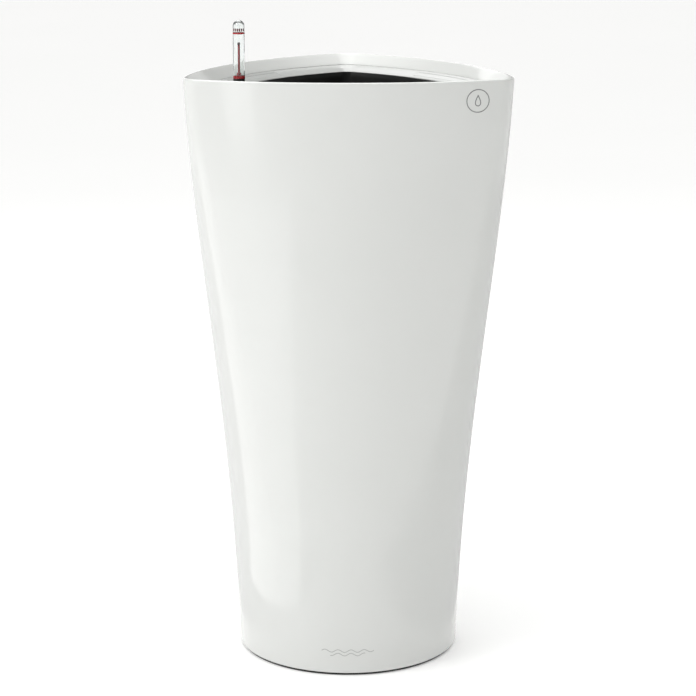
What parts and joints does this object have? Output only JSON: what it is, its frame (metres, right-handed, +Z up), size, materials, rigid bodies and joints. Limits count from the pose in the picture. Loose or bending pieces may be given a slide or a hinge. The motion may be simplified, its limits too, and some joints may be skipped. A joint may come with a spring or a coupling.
{
  "type": "self-watering planter",
  "caption": "Tall gloss-white planter, three-sided with rounded corners at the rim and round at the foot, with a lift-out black liner, water reservoir and float gauge.",
  "frame": {"origin": "centre of the round foot, on the surface that the planter stands on", "axes": "+Z up along the planter's axis; -Y faces the front side, opposite the back corner; +X to the right seen from the front"},
  "size_m": [0.3996, 0.3923, 0.817],
  "materials": {
    "shell_white": "high-gloss lacquered white",
    "foot_rubber": "matte dark grey",
    "plug_grey": "moulded dark grey",
    "seal_rubber": "smooth black",
    "liner_black": "fine moulded grain, black",
    "frame_white": "high-gloss white",
    "handle_white": "high-gloss white",
    "separator_black": "fine moulded grain, black",
    "gauge_black": "semi-gloss black",
    "gauge_clear": "clear moulded plastic tube",
    "gauge_red": "glossy red",
    "needle_dark": "dark red",
    "float_foam": "fine closed-cell foam"
  },
  "bodies": {
    "planter": {"outer_shell": "shell_white", "foot_ring": "foot_rubber"},
    "shell_plug": {"shell_drain_plug": "plug_grey", "shell_plug_seal": "seal_rubber"},
    "liner": {"planting_liner": "liner_black", "handle_frame": "frame_white", "fill_shaft": "gauge_black"},
    "handle_front": {"lift_handle_front": "handle_white"},
    "handle_right": {"lift_handle_right": "handle_white"},
    "handle_left": {"lift_handle_left": "handle_white"},
    "liner_plug": {"liner_drain_plug": "plug_grey", "liner_plug_seal": "seal_rubber"},
    "separator": {"separator_plate": "separator_black", "wick_cups": "separator_black"},
    "gauge": {"gauge_holder": "gauge_black", "gauge_housing": "gauge_black", "gauge_foot": "gauge_black", "needle_guide": "gauge_red", "gauge_sight_tube": "gauge_clear", "gauge_lower_band": "gauge_red", "gauge_max_ring": "gauge_red"},
    "float": {"gauge_needle": "gauge_red", "gauge_needle_tip": "needle_dark", "gauge_float": "float_foam"}
  },
  "joints": [
    {"name": "liner_lift", "type": "slide", "parent": "planter", "child": "liner", "axis": [0, 0, 1], "range_m": [0, 0.37]},
    {"name": "shell_plug_pull", "type": "slide", "parent": "planter", "child": "shell_plug", "axis": [0, 0, 1], "range_m": [0, 0.04]},
    {"name": "handle_front_slide", "type": "slide", "parent": "liner", "child": "handle_front", "axis": [0, 0, 1], "range_m": [0, 0.055]},
    {"name": "handle_right_slide", "type": "slide", "parent": "liner", "child": "handle_right", "axis": [0, 0, 1], "range_m": [0, 0.055]},
    {"name": "handle_left_slide", "type": "slide", "parent": "liner", "child": "handle_left", "axis": [0, 0, 1], "range_m": [0, 0.055]},
    {"name": "liner_plug_pull", "type": "slide", "parent": "liner", "child": "liner_plug", "axis": [0, 0, -1], "range_m": [0, 0.035]},
    {"name": "separator_lift", "type": "slide", "parent": "liner", "child": "separator", "axis": [0, 0, 1], "range_m": [0, 0.36]},
    {"name": "gauge_lift", "type": "slide", "parent": "liner", "child": "gauge", "axis": [0, 0, 1], "range_m": [0, 0.33]},
    {"name": "float_travel", "type": "slide", "parent": "gauge", "child": "float", "axis": [0, 0, 1], "range_m": [-0.033, 0.01]}
  ]
}
